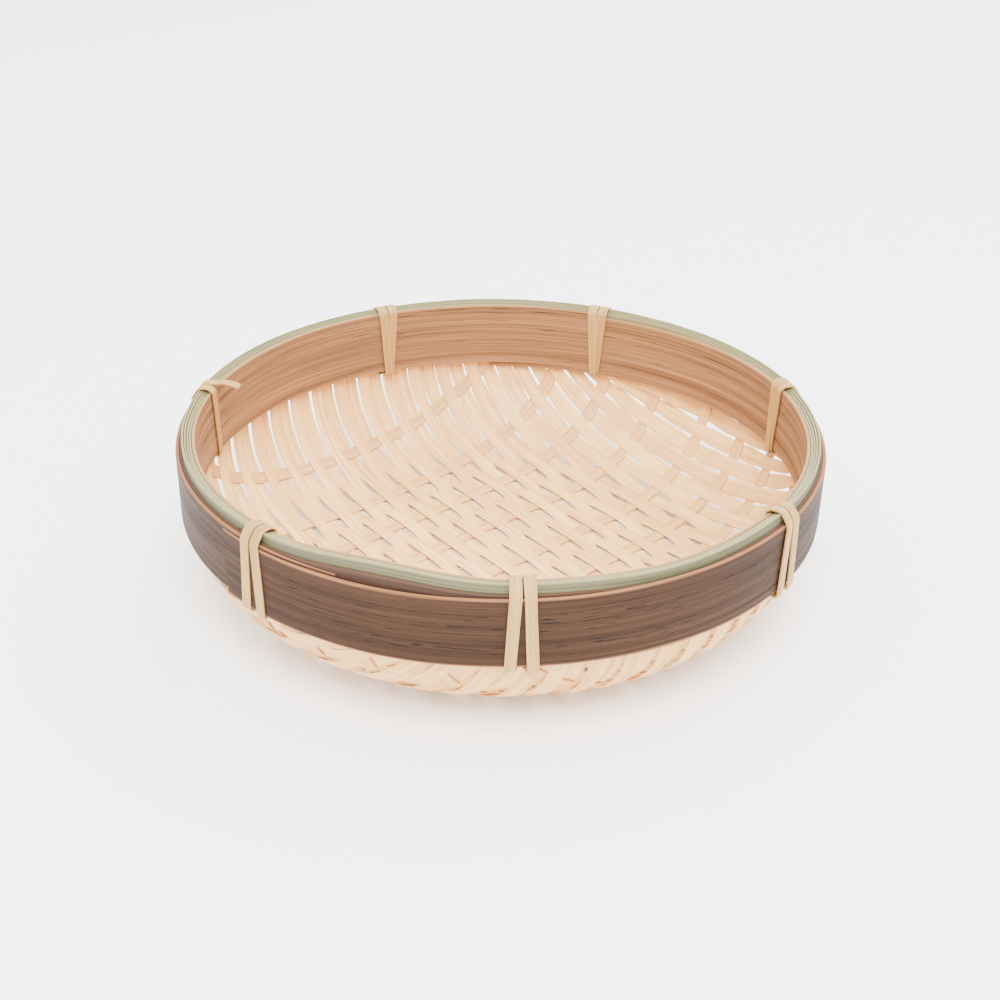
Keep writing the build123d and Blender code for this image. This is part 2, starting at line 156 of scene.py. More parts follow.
# ---------- making meshes ----------
class Workshop:
    """Turns rows of points into finished pieces."""

    @staticmethod
    def clear_selection() -> None:
        """Deselect everything, so that an operator touches nothing but the new piece."""
        for other in bpy.context.selected_objects:
            other.select_set(False)

    @classmethod
    def sheet(cls, name: str, points: Array, uvs: Array, cut: Array | None = None) -> Piece:
        """A grid primitive with its vertices moved to their places.

        Args:
            name: the piece's name.
            points: rows by columns by 3, in millimetres.
            uvs: rows by columns by 2, in metres.
            cut: rows by columns, 1 where a cut edge shows.

        Returns:
            The new object, at the origin.
        """
        rows, columns = points.shape[:2]
        cls.clear_selection()
        bpy.ops.mesh.primitive_grid_add(x_subdivisions=rows - 1, y_subdivisions=columns - 1, size=1)
        piece = bpy.context.object
        piece.name = name
        mesh = piece.data
        mesh.name = name
        count = len(mesh.vertices)
        places = np.zeros(count * 3)
        mesh.vertices.foreach_get("co", places)
        places = places.reshape(-1, 3)
        row = np.rint((places[:, 0] + 0.5) * (rows - 1)).astype(int)
        column = np.rint((places[:, 1] + 0.5) * (columns - 1)).astype(int)
        mesh.vertices.foreach_set("co", (points[row, column] * MM).ravel())
        corner = np.zeros(len(mesh.loops), dtype=int)
        mesh.loops.foreach_get("vertex_index", corner)
        layer = mesh.uv_layers[0]
        layer.name = UV_LAYER
        layer.data.foreach_set("uv", uvs[row, column][corner].ravel())
        attribute = mesh.attributes.new(CUT_ATTRIBUTE, "FLOAT", "POINT")
        values = np.zeros(count) if cut is None else cut[row, column]
        attribute.data.foreach_set("value", values)
        mesh.update()
        return piece

    @classmethod
    def apply(cls, piece: Piece, kind: str, **settings: object) -> None:
        """Add one modifier to a piece and apply it."""
        modifier = piece.modifiers.new(kind.title(), kind)
        for key, value in settings.items():
            setattr(modifier, key, value)
        cls.activate(piece)
        bpy.ops.object.modifier_apply(modifier=modifier.name)

    @classmethod
    def activate(cls, piece: Piece) -> None:
        """Select one piece alone and make it active."""
        cls.clear_selection()
        piece.select_set(True)
        bpy.context.view_layer.objects.active = piece

    @classmethod
    def close(cls, piece: Piece, merge: float) -> None:
        """Weld a rolled-up sheet's seam, cap its open ends and point its faces outwards."""
        cls.activate(piece)
        bpy.ops.object.mode_set(mode="EDIT")
        bpy.ops.mesh.select_all(action="SELECT")
        bpy.ops.mesh.remove_doubles(threshold=merge * MM)
        bpy.ops.mesh.select_all(action="SELECT")
        bpy.ops.mesh.fill_holes(sides=0)
        bpy.ops.mesh.select_all(action="SELECT")
        bpy.ops.mesh.normals_make_consistent(inside=False)
        bpy.ops.object.mode_set(mode="OBJECT")

    @classmethod
    def smooth(cls, piece: Piece, angle: float = 40.0) -> None:
        """Shade a piece smooth, with edges sharper than the angle left sharp."""
        cls.activate(piece)
        bpy.ops.object.shade_smooth_by_angle(angle=math.radians(angle))

    @classmethod
    def join(cls, name: str, pieces: list[Piece]) -> Piece:
        """Join several pieces into the first."""
        cls.clear_selection()
        for piece in pieces:
            piece.select_set(True)
        bpy.context.view_layer.objects.active = pieces[0]
        if len(pieces) > 1:
            bpy.ops.object.join()
        pieces[0].name = name
        return pieces[0]

    @classmethod
    def strip(
        cls,
        name: str,
        points: Array,
        across: Array,
        width: Array,
        thickness: float,
        rng: random.Random,
        camber: float = 0.0,
    ) -> Piece:
        """A flat bamboo strip with eased edges, following a row of points.

        Args:
            name: the piece's name.
            points: the strip's middle.
            across: unit vectors across its width.
            width: its width at each point.
            thickness: its thickness.
            rng: gives the pattern's place on this piece.
            camber: how far the middle stands proud of the edges.

        Returns:
            The finished strip.
        """
        lanes = np.linspace(-0.5, 0.5, 5)
        normal = unit(np.cross(across, along_of(points)))
        spread = across[:, None, :] * (width[:, None] * lanes)[..., None]
        crown = normal[:, None, :] * (camber * (1 - 4 * lanes**2))[None, :, None]
        places = points[:, None, :] + spread + crown
        steps = np.linalg.norm(np.diff(points, axis=0), axis=1)
        way = np.concatenate([[0.0], np.cumsum(steps)])
        shift = [rng.uniform(0, room) for room in PATTERN_ROOM]
        run = np.broadcast_arrays(way[:, None] + shift[0], width[:, None] * lanes + shift[1])
        uvs = np.stack(run, axis=-1)
        piece = cls.sheet(name, places, uvs * MM)
        cls.apply(piece, "SOLIDIFY", thickness=thickness * MM, offset=0.0, use_even_offset=True)
        limit = math.radians(50)
        cls.apply(piece, "BEVEL", width=0.11 * MM, segments=2, limit_method="ANGLE", angle_limit=limit)
        cls.smooth(piece)
        return piece


# ---------- the basket's layout ----------
@dataclass(frozen=True)
class RimSizes:
    """The hoops' and fillers' sizes."""

    radius: float = 105.0
    outer_height: float = 22.0
    outer_thickness: float = 1.1
    backing_thickness: float = 0.8
    backing_rise: float = 0.2
    backing_drop: float = 1.3
    inner_thickness: float = 1.1
    inner_height: float = 23.2
    inner_rise: float = 2.4
    clamp_gap: float = 3.2
    lean: float = 0.6
    clearance: float = 0.05
    filler_layers: int = 4
    filler_height: float = 9.0
    filler_rise: float = 3.4
    filler_step_down: float = 0.35
    lap_angle: float = 24.0
    lap_tip: float = 0.22
    outer_lap_drop: float = 1.0
    inner_lap_drop: float = 2.2
    drop_angle: float = 75.0
    layer_gap: float = 0.2
    rim_z: float = 52.825
    creeps: tuple[tuple[float, float], ...] = ((-147.0, 2.3), (-98.0, -0.9))
    creep_reach: float = 21.0

    @property
    def foot_z(self) -> float:
        """Height of the outer hoop's foot."""
        return self.rim_z - self.outer_height

    @property
    def filler_top(self) -> float:
        """Height of the outermost filler's top."""
        return self.rim_z + self.filler_rise

    @property
    def splint_top(self) -> float:
        """Height at which the weave's cut ends stop."""
        foot = self.filler_top - self.filler_height
        return foot - self.filler_step_down * self.filler_layers - self.layer_gap

    @property
    def clamp_depth(self) -> float:
        """From the outer face in to the clamped weave."""
        return self.outer_thickness + self.backing_thickness + 2 * self.clearance

    @property
    def inner_depth(self) -> float:
        """From the outer face in to the inner hoop."""
        return self.clamp_depth + self.clamp_gap + self.clearance

    @property
    def depth(self) -> float:
        """The whole rim's thickness."""
        return self.inner_depth + self.inner_thickness

    def at(self, depth: Amount, z: Amount) -> Amount:
        """Radius of the layer that lies depth inside the outer face, at height z."""
        return self.radius - depth - (self.rim_z - z) * math.sin(math.radians(self.lean))

    def creep(self, angle: Array) -> Array:
        """How far the layers behind the outer hoop stand above their place, at each angle."""
        height = np.zeros_like(angle)
        for middle, rise in self.creeps:
            away = np.abs((angle - middle + 180) % 360 - 180)
            height = height + rise * ease(1 - away / self.creep_reach)
        return height


@dataclass(frozen=True)
class WeaveSizes:
    """The bowl's and the weave's sizes."""

    floor_z: float = 0.825
    floor_radius: float = 52.5
    floor_fullness: float = 0.92
    wall_fullness: float = 0.17
    thickness: float = 0.45
    layer: float = 0.65
    warps_per_side: int = 19
    warp_gap: float = 0.12
    widest_warp: float = 6.4
    pinch: float = 0.95
    floor_pinch: float = 0.15
    pinch_reach: float = 6.0
    edge_gap: float = 4.0
    wall_spread: float = 0.11
    weft_width: float = 4.7
    weft_count: int = 9
    weft_pitch: float = 21.3
    weft_skew: float = 5.5
    weft_wander: tuple[float, ...] = (-1.0, 1.0, 0.5, -2.0, -3.0, -0.5, -0.5, -2.0, 2.0)
    end_tuck: float = 14.0
    draw_in: float = 0.55
    swap_start: float = 0.3
    swap_end: float = 0.7
    station: float = 1.25


@dataclass
class Bowl:
    """The bowl's section, and the ways that splints take over it."""

    rim: RimSizes
    weave: WeaveSizes
    samples: int = 1200
    route_steps: int = 500

    def __post_init__(self) -> None:
        """Sample the section: floor, bend, then up between the hoops."""
        rim, weave = self.rim, self.weave
        middle = rim.clamp_depth + rim.clamp_gap / 2
        self.foot_radius = rim.at(middle, rim.foot_z)
        run = weave.wall_fullness * (rim.foot_z - weave.floor_z)
        reach = weave.floor_radius + weave.floor_fullness * (self.foot_radius - weave.floor_radius)
        control = np.array(
            [
                (weave.floor_radius, weave.floor_z),
                (reach, weave.floor_z),
                (rim.at(middle, rim.foot_z - run), rim.foot_z - run),
                (self.foot_radius, rim.foot_z),
            ]
        )
        t = np.linspace(0, 1, self.samples)[:, None]
        bend = (1 - t) ** 3 * control[0] + 3 * (1 - t) ** 2 * t * control[1]
        bend = bend + 3 * (1 - t) * t**2 * control[2] + t**3 * control[3]
        top = np.array([[rim.at(middle, rim.splint_top), rim.splint_top]])
        points = np.concatenate([[[0.0, weave.floor_z]], bend, top])
        way = np.concatenate([[0.0], np.cumsum(np.linalg.norm(np.diff(points, axis=0), axis=1))])
        foot_m = way[-2]
        self.m = np.linspace(0, way[-1], self.samples)
        self.r = np.interp(self.m, way, points[:, 0])
        self.z = np.interp(self.m, way, points[:, 1])
        self.slope = np.degrees(np.arctan2(np.gradient(self.z), np.gradient(self.r)))
        self.foot_m = foot_m

    def point(self, m: Array, angle: Array) -> Array:
        """Points of the weave's middle layer."""
        return around(np.interp(m, self.m, self.r), angle, np.interp(m, self.m, self.z))

    def normal(self, m: Array, angle: Array) -> Array:
        """The bowl's normals, towards its inside."""
        slope = np.radians(np.interp(m, self.m, self.slope))
        return around(-np.sin(slope), angle, np.cos(slope))

    def half_route(self, start_m: float) -> Array:
        """Half a splint's way, from its nearest point to the axis to one end.

        Args:
            start_m: where it starts, along the section.

        Returns:
            Rows of distance along the section, angle swept, and length travelled.
        """
        start_r = float(np.interp(start_m, self.m, self.r))
        root = np.linspace(0, math.sqrt(self.m[-1] - start_m), self.route_steps)
        m = start_m + root**2
        r = np.interp(m, self.m, self.r)
        slope = np.radians(np.interp(m, self.m, self.slope))
        swept = np.full_like(m, 90.0)
        if start_r > 0:
            reach = np.sqrt(np.maximum(r**2 - start_r**2, 1e-6))
            turn = start_r / (r * reach) * (1 - np.cos(slope)) * 2 * root * root[1]
            turn[0] = 0.0
            extra = np.degrees(np.cumsum(turn))
            swept = np.degrees(np.arccos(np.minimum(start_r / r, 1.0)))
            swept = swept + self.weave.draw_in * start_r / self.foot_radius * extra
        steps = np.linalg.norm(np.diff(self.point(m, swept), axis=0), axis=1)
        travelled = np.concatenate([[0.0], np.cumsum(steps)])
        keep = travelled <= np.interp(self.foot_m, m, travelled) + self.weave.end_tuck
        return np.stack([m, swept, travelled], axis=1)[keep]

    def route(self, offset_m: float, heading: float) -> Array:
        """A splint's whole way, as rows of m, angle and signed length.

        Args:
            offset_m: how far its middle lies to the right of the heading, along the section.
            heading: its direction at the middle, in degrees.

        Returns:
            The route, evenly spaced by length.
        """
        side, turn = (-90.0, 1.0) if offset_m >= 0 else (90.0, -1.0)
        half = self.half_route(abs(offset_m))
        forth = np.stack([half[:, 0], heading + side + turn * half[:, 1], half[:, 2]], axis=1)
        back = np.stack([half[:, 0], heading + side - turn * half[:, 1], -half[:, 2]], axis=1)[:0:-1]
        whole = np.concatenate([back, forth])
        count = int((whole[-1, 2] - whole[0, 2]) / self.weave.station)
        length = np.linspace(whole[0, 2], whole[-1, 2], count)
        if abs(offset_m) < 1e-9:  # the middle splint's angle jumps where it passes the axis
            angle = np.where(length < 0, back[0, 1], forth[-1, 1])
        else:
            angle = np.interp(length, whole[:, 2], whole[:, 1])
        return np.stack([np.interp(length, whole[:, 2], whole[:, 0]), angle, length], axis=1)


# ---------- finishes ----------
Value = float | tuple[float, ...] | Socket


class Wiring:
    """Adds nodes to a tree and joins them up."""

    def __init__(self, tree: bpy.types.NodeTree) -> None:
        """Keep the tree that is being wired."""
        self.tree = tree

    def add(
        self, kind: str, inputs: dict[str | int, Value] | None = None, **settings: object
    ) -> bpy.types.Node:
        """Add a node.

        Args:
            kind: the node's type, without its ShaderNode prefix.
            inputs: values or sockets for its inputs, by name or number.
            settings: its other properties.

        Returns:
            The node.
        """
        node = self.tree.nodes.new("ShaderNode" + kind)
        for key, value in settings.items():
            setattr(node, key, value)
        for key, value in (inputs or {}).items():
            if isinstance(value, Socket):
                self.tree.links.new(value, node.inputs[key])
            else:
                node.inputs[key].default_value = value
        return node

    def math(self, operation: str, a: Value, b: Value = 0.0) -> Socket:
        """One arithmetic step."""
        return self.add("Math", {0: a, 1: b}, operation=operation).outputs[0]

    def times(self, a: Value, b: Value) -> Socket:
        """A product."""
        return self.math("MULTIPLY", a, b)

    def span(self, value: Value, low: float, high: float, to_low: float, to_high: float) -> Socket:
        """A value's range mapped to another, clamped."""
        places = {0: value, 1: low, 2: high, 3: to_low, 4: to_high}
        return self.add("MapRange", places, clamp=True).outputs[0]

    def mix(self, share: Value, a: Value, b: Value) -> Socket:
        """One colour laid over another."""
        node = self.add("Mix", {0: share, 6: a, 7: b}, data_type="RGBA")
        return node.outputs[2]

    def noise(self, place: Value, detail: float, roughness: float = 0.55) -> Socket:
        """Noise with waves one unit long."""
        inputs = {"Vector": place, "Scale": 1.0, "Detail": detail, "Roughness": roughness}
        return self.add("TexNoise", inputs).outputs[0]

    def stretched(self, place: Value, length: Value, width: Value, seed: float) -> Socket:
        """A place along a splint, counted in lengths along it and in widths across it."""
        cells = self.add("CombineXYZ", {0: length, 1: width, 2: 1.0}).outputs[0]
        spread = self.add("VectorMath", {0: place, 1: cells}, operation="DIVIDE").outputs[0]
        return self.add("VectorMath", {0: spread, 1: (seed, seed * 1.7, seed)}, operation="ADD").outputs[0]


class Effects:
    """Shader node groups that the finishes share."""

    @staticmethod
    def group(
        name: str, inputs: dict[str, float | None], outputs: tuple[str, ...]
    ) -> tuple[Wiring, bpy.types.Node, bpy.types.Node]:
        """Start a group.

        Args:
            name: the group's name.
            inputs: its inputs with their starting values, None for a vector.
            outputs: its outputs, all of them numbers.

        Returns:
            The group's wiring, its input node and its output node.
        """
        tree = bpy.data.node_groups.new(name, "ShaderNodeTree")
        for key, value in inputs.items():
            kind = "NodeSocketVector" if value is None else "NodeSocketFloat"
            socket = tree.interface.new_socket(key, in_out="INPUT", socket_type=kind)
            if value is not None:
                socket.default_value = value
        for key in outputs:
            tree.interface.new_socket(key, in_out="OUTPUT", socket_type="NodeSocketFloat")
        wiring = Wiring(tree)
        return wiring, tree.nodes.new("NodeGroupInput"), tree.nodes.new("NodeGroupOutput")

    def __init__(self) -> None:
        """Build each group once."""
        self.grain = self._grain()
        self.flecks = self._flecks()
        self.drift = self._drift()

    def _grain(self) -> bpy.types.NodeTree:
        """Long parallel fibres: fine ones over broader bands."""
        inputs = {"Place": None, "Fibre Length": 0.03, "Fibre Width": 0.0003}
        wiring, given, result = self.group("Bamboo Grain", inputs, ("Fibres", "Bands", "Height"))
        place, length, width = given.outputs[0], given.outputs[1], given.outputs[2]
        fine = wiring.noise(wiring.stretched(place, length, width, 3.1), 3.0, 0.6)
        longer, wider = wiring.times(length, 3.0), wiring.times(width, 4.5)
        wide = wiring.stretched(place, longer, wider, 8.7)
        broad = wiring.noise(wide, 2.0)
        height = wiring.math("ADD", wiring.times(fine, 0.7), wiring.times(broad, 0.6))
        wiring.tree.links.new(wiring.span(fine, 0.32, 0.68, 0.0, 1.0), result.inputs[0])
        wiring.tree.links.new(wiring.span(broad, 0.32, 0.68, 0.0, 1.0), result.inputs[1])
        wiring.tree.links.new(height, result.inputs[2])
        return wiring.tree

    def _flecks(self) -> bpy.types.NodeTree:
        """Short dark marks that run with the fibres."""
        inputs = {"Place": None, "Length": 0.004, "Width": 0.0004, "Threshold": 0.66}
        wiring, given, result = self.group("Dark Flecks", inputs, ("Mask",))
        place, length, width = given.outputs[0], given.outputs[1], given.outputs[2]
        marks = wiring.noise(wiring.stretched(place, length, width, 21.3), 1.5, 0.45)
        longer, wider = wiring.times(length, 9.0), wiring.times(width, 9.0)
        patches = wiring.noise(wiring.stretched(place, longer, wider, 5.9), 1.0)
        lifted = wiring.math("ADD", marks, wiring.times(patches, 0.35))
        over = wiring.math("SUBTRACT", lifted, given.outputs[3])
        wiring.tree.links.new(wiring.span(over, 0.0, 0.06, 0.0, 1.0), result.inputs[0])
        return wiring.tree

    def _drift(self) -> bpy.types.NodeTree:
        """Slow changes of tone along a splint and over the basket."""
        inputs = {"Place": None, "Spot": None, "Length": 0.09, "Width": 0.02}
        wiring, given, result = self.group("Tone Drift", inputs, ("Along", "Over"))
        place, spot, length, width = (given.outputs[i] for i in range(4))
        along = wiring.noise(wiring.stretched(place, length, width, 13.3), 1.0)
        spread = wiring.add("VectorMath", {0: spot, 1: (14.0, 14.0, 14.0)}, operation="MULTIPLY")
        over = wiring.noise(spread.outputs[0], 2.0)
        wiring.tree.links.new(wiring.span(along, 0.34, 0.66, 0.0, 1.0), result.inputs[0])
        wiring.tree.links.new(wiring.span(over, 0.36, 0.64, 0.0, 1.0), result.inputs[1])
        return wiring.tree


@dataclass(frozen=True)
class BambooFinish:
    """One finish of split bamboo. Colours are linear, lengths in metres."""

    name: str
    pale: Triple
    deep: Triple
    tint: Triple
    fleck: Triple
    cut: Triple
    fibre_length: float = 0.035
    fibre_width: float = 0.00028
    fibre_depth: float = 0.55
    band_depth: float = 0.45
    tint_share: float = 0.7
    fleck_length: float = 0.004
    fleck_width: float = 0.0004
    fleck_threshold: float = 0.9
    rough: tuple[float, float] = (0.5, 0.66)
    bump: float = 0.35
    bump_height: float = 0.00012
    specular: float = 0.4

    def build(self, effects: Effects) -> bpy.types.Material:
        """Wire the finish's material.

        Args:
            effects: the shared node groups.

        Returns:
            The material.
        """
        material = bpy.data.materials.new(self.name)
        material.use_nodes = True
        material.diffuse_color = (*self.pale, 1.0)
        tree = material.node_tree
        tree.nodes.clear()
        wiring = Wiring(tree)
        place = wiring.add("UVMap", uv_map=UV_LAYER).outputs[0]
        spot = wiring.add("TexCoord").outputs["Object"]
        cut = wiring.add("Attribute", attribute_name=CUT_ATTRIBUTE).outputs["Fac"]
        grain = wiring.add("Group", node_tree=effects.grain)
        flecks = wiring.add("Group", node_tree=effects.flecks)
        drift = wiring.add("Group", node_tree=effects.drift)
        for group in (grain, flecks, drift):
            tree.links.new(place, group.inputs["Place"])
        tree.links.new(spot, drift.inputs["Spot"])
        grain.inputs["Fibre Length"].default_value = self.fibre_length
        grain.inputs["Fibre Width"].default_value = self.fibre_width
        flecks.inputs["Length"].default_value = self.fleck_length
        flecks.inputs["Width"].default_value = self.fleck_width
        flecks.inputs["Threshold"].default_value = self.fleck_threshold
        fibres, bands, height = grain.outputs
        fine = wiring.times(fibres, self.fibre_depth)
        streaks = wiring.math("ADD", fine, wiring.times(bands, self.band_depth))
        colour = wiring.mix(streaks, (*self.pale, 1.0), (*self.deep, 1.0))
        tone = wiring.times(drift.outputs["Along"], self.tint_share)
        colour = wiring.mix(tone, colour, wiring.mix(streaks, (*self.tint, 1.0), (*self.deep, 1.0)))
        shade = wiring.span(drift.outputs["Over"], 0.0, 1.0, 0.0, 0.16)
        colour = wiring.mix(shade, colour, (*self.deep, 1.0))
        colour = wiring.mix(flecks.outputs[0], colour, (*self.fleck, 1.0))
        colour = wiring.mix(cut, colour, wiring.mix(streaks, (*self.cut, 1.0), (*self.pale, 1.0)))
        rough = wiring.span(streaks, 0.0, 1.0, *self.rough)
        bump = wiring.add(
            "Bump", {"Strength": self.bump, "Distance": self.bump_height, "Height": height}
        ).outputs["Normal"]
        shader = wiring.add(
            "BsdfPrincipled",
            {
                "Base Color": colour,
                "Roughness": rough,
                "Normal": bump,
                "Specular IOR Level": self.specular,
            },
        )
        wiring.add("OutputMaterial", {"Surface": shader.outputs[0]})
        return material


FINISHES = {
    Slot.WARP: BambooFinish(
        "warp_bamboo",
        pale=(0.97, 0.66, 0.25),
        deep=(0.54, 0.24, 0.055),
        tint=(0.92, 0.52, 0.23),
        fleck=(0.45, 0.22, 0.08),
        cut=(0.88, 0.52, 0.22),
        fleck_threshold=0.97,
        bump=0.5,
    ),
    # The wefts' deeper, more orange tone is partly the bamboo's own colour and partly painted shade, for
    # the shade they lie in under the warps.
    Slot.WEFT: BambooFinish(
        "weft_bamboo",
        pale=(0.90, 0.56, 0.20),
        deep=(0.44, 0.18, 0.042),
        tint=(0.82, 0.42, 0.17),
        fleck=(0.42, 0.20, 0.07),
        cut=(0.82, 0.46, 0.18),
        fleck_threshold=0.97,
        bump=0.5,
    ),
    Slot.OUTER: BambooFinish(
        "outer_hoop_skin",
        pale=(0.052, 0.0235, 0.0118),
        deep=(0.0165, 0.0074, 0.0040),
        tint=(0.080, 0.037, 0.0195),
        fleck=(0.005, 0.003, 0.0025),
        cut=(0.44, 0.19, 0.08),
        fibre_length=0.05,
        fibre_width=0.0004,
        fleck_length=0.0075,
        fleck_width=0.0004,
        fleck_threshold=0.84,
        bump=0.5,
        specular=0.1,
    ),
    # The backing hoop's near-black brown, dark cut edge included, is painted shade: the shadow that fills
    # the gap between the outer hoop's top edge and the fillers.
    Slot.BACKING: BambooFinish(
        "backing_hoop_skin",
        pale=(0.062, 0.028, 0.016),
        deep=(0.022, 0.010, 0.006),
        tint=(0.050, 0.024, 0.015),
        fleck=(0.012, 0.008, 0.006),
        cut=(0.10, 0.05, 0.03),
        fleck_threshold=0.84,
        specular=0.2,
    ),
    Slot.INNER: BambooFinish(
        "inner_hoop_flesh",
        pale=(0.37, 0.180, 0.070),
        deep=(0.115, 0.047, 0.017),
        tint=(0.40, 0.205, 0.105),
        fleck=(0.022, 0.009, 0.005),
        cut=(0.27, 0.19, 0.08),
        fibre_length=0.07,
        fibre_width=0.0005,
        fibre_depth=0.62,
        band_depth=0.5,
        fleck_length=0.02,
        fleck_width=0.0003,
        fleck_threshold=0.86,
        bump=0.7,
        specular=0.25,
    ),
    Slot.FILLER: BambooFinish(
        "filler_green",
        pale=(0.235, 0.205, 0.090),
        deep=(0.060, 0.060, 0.032),
        tint=(0.165, 0.155, 0.075),
        fleck=(0.03, 0.02, 0.012),
        cut=(0.22, 0.195, 0.088),
        fibre_length=0.06,
        fibre_width=0.0004,
        fibre_depth=0.6,
        band_depth=0.6,
        fleck_threshold=0.90,
        rough=(0.45, 0.6),
        specular=0.25,
    ),
    Slot.TIE: BambooFinish(
        "tie_bamboo",
        pale=(0.52, 0.325, 0.105),
        deep=(0.27, 0.140, 0.038),
        tint=(0.43, 0.250, 0.076),
        fleck=(0.30, 0.16, 0.055),
        cut=(0.60, 0.40, 0.15),
        fibre_length=0.03,
        fibre_width=0.00025,
        fleck_threshold=0.99,
        rough=(0.45, 0.6),
        specular=0.35,
    ),
}


# ---------- pieces ----------
@dataclass
class SubAssembly:
    """Pieces that are built and dressed together."""

    materials: dict[Slot, bpy.types.Material]
    seed: int = 1
    pieces: list[Piece] = field(default_factory=list)

    def rng(self, name: str) -> random.Random:
        """A random source that belongs to one named piece."""
        return random.Random(f"{self.seed}:{name}")

    def finish(self, piece: Piece, slot: Slot, node: str) -> None:
        """Dress a piece and give it its place in the model.

        Args:
            piece: the finished mesh.
            slot: the material slot it takes its finish from.
            node: the model's node that it stands for.
        """
        piece.data.materials.clear()
        piece.data.materials.append(self.materials[slot])
        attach(piece, BODY)
        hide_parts(node)
        self.pieces.append(piece)
        LOG.info("%s: %d faces", piece.name, len(piece.data.polygons))


@dataclass
class Weave(SubAssembly):
    """The woven splints: warps along Y and wefts roughly along X."""

    sizes: WeaveSizes = field(default_factory=WeaveSizes)
    rim: RimSizes = field(default_factory=RimSizes)

    def build(self) -> None:
        """Make every weft and every warp."""
        self.bowl = Bowl(self.rim, self.sizes)
        sizes = self.sizes
        self.laid_wefts = []
        for j in range(sizes.weft_count):
            offset = (j - (sizes.weft_count - 1) / 2) * sizes.weft_pitch + sizes.weft_wander[j]
            route = self.bowl.route(-offset, sizes.weft_skew)
            flat = self._flat(route)
            self.laid_wefts.append(flat[np.argsort(flat[:, 0])])
            level = np.zeros(len(route))
            self._splint(f"weft_{j + 1}", Slot.WEFT, route, level, level + sizes.weft_width)
        half_span = self.bowl.foot_m - sizes.edge_gap
        share = np.arange(-sizes.warps_per_side, sizes.warps_per_side + 1) / sizes.warps_per_side
        offsets = half_span * ((1 - sizes.wall_spread) * share + sizes.wall_spread * share**3)
        routes = [self.bowl.route(float(offset), 90.0) for offset in offsets]
        ways = [self.bowl.point(route[:, 0], route[:, 1]) for route in routes]
        for number, route in enumerate(routes, start=1):
            passes = self._passes(route, number)
            widths = self._free_width(number - 1, ways) - self._pinch(route, passes)
            self._splint(f"warp_{number:02d}", Slot.WARP, route, self._lift(route, passes), widths)

    def _free_width(self, index: int, ways: list[Array]) -> Array:
        """A warp's width along its way: what its neighbours leave free, up to the widest."""
        free = []
        for other in (index - 1, index + 1):
            if 0 <= other < len(ways):
                apart = np.linalg.norm(ways[index][:, None, :] - ways[other][None, :, :], axis=2)
                free.append(apart.min(axis=1))
        return np.minimum(np.mean(free, axis=0) - self.sizes.warp_gap, self.sizes.widest_warp)

    @staticmethod
    def _flat(route: Array) -> Array:
        """A route laid flat: distance along the section from the middle, at the same angle."""
        angle = np.radians(route[:, 1])
        return np.stack([route[:, 0] * np.cos(angle), route[:, 0] * np.sin(angle)], axis=1)

    def _passes(self, route: Array, number: int) -> list[tuple[float, float]]:
        """Where a warp meets the wefts.

        Args:
            route: the warp's route.
            number: the warp's number, from 1.

        Returns:
            Pairs of length along the warp and side, 1 over the weft and -1 under it.
        """
        laid = self._flat(route)
        passes = []
        for j, weft in enumerate(self.laid_wefts):
            inside = (laid[:, 0] >= weft[0, 0]) & (laid[:, 0] <= weft[-1, 0])
            side = laid[:, 1] - np.interp(laid[:, 0], weft[:, 0], weft[:, 1])
            for i in np.nonzero(inside[:-1] & inside[1:] & (side[:-1] * side[1:] < 0))[0]:
                share = side[i] / (side[i] - side[i + 1])
                length = route[i, 2] + share * (route[i + 1, 2] - route[i, 2])
                passes.append((float(length), -1.0 if (number + j) % 2 else 1.0))
        return sorted(passes)

    def _pinch(self, route: Array, passes: list[tuple[float, float]]) -> Array:
        """How much narrower a warp is where a weft holds it on the wall."""
        near = np.zeros(len(route))
        for length, _ in passes:
            near = np.maximum(near, np.exp(-(((route[:, 2] - length) / self.sizes.pinch_reach) ** 2)))
        sizes = self.sizes
        on_wall = ease((route[:, 0] - sizes.floor_radius * 0.7) / 25)
        return near * (sizes.floor_pinch + (sizes.pinch - sizes.floor_pinch) * on_wall)

    def _lift(self, route: Array, passes: list[tuple[float, float]]) -> Array:
        """How far a warp lies above or below the wefts' middle layer, along its route."""
        if not passes:
            return np.zeros(len(route))
        lengths = route[:, 2]
        lift = np.full(len(route), passes[0][1])
        for (start, low), (end, high) in zip(passes, passes[1:]):
            share = (lengths - start) / (end - start)
            swap = ease((share - self.sizes.swap_start) / (self.sizes.swap_end - self.sizes.swap_start))
            lift = np.where(lengths > start, low + (high - low) * swap, lift)
        return lift * self.sizes.layer

    def _splint(self, name: str, slot: Slot, route: Array, lift: Array, width: Array) -> None:
        """Make one splint, with the small unevenness of a hand-cut strip."""
        rng = self.rng(name)
        m, angle, length = route.T
        normal = self.bowl.normal(m, angle)
        points = self.bowl.point(m, angle) + normal * lift[:, None]
        across = unit(np.cross(along_of(points), normal))
        points = points + across * wander(rng, length, 90, 0.16)[:, None]
        twist = wander(rng, length, 70, 0.035)[:, None]
        across = unit(across + normal * twist)
        widths = width * (1 + rng.uniform(-0.04, 0.03)) + wander(rng, length, 60, 0.13)
        piece = Workshop.strip(name + "_splint", points, across, widths, self.sizes.thickness, rng, 0.05)
        self.finish(piece, slot, name)


@dataclass(frozen=True)
class Wall:
    """A hoop's or filler's wall: its middle lies depth inside the rim's outer face."""

    depth: float
    thickness: float
    foot: float
    height: float


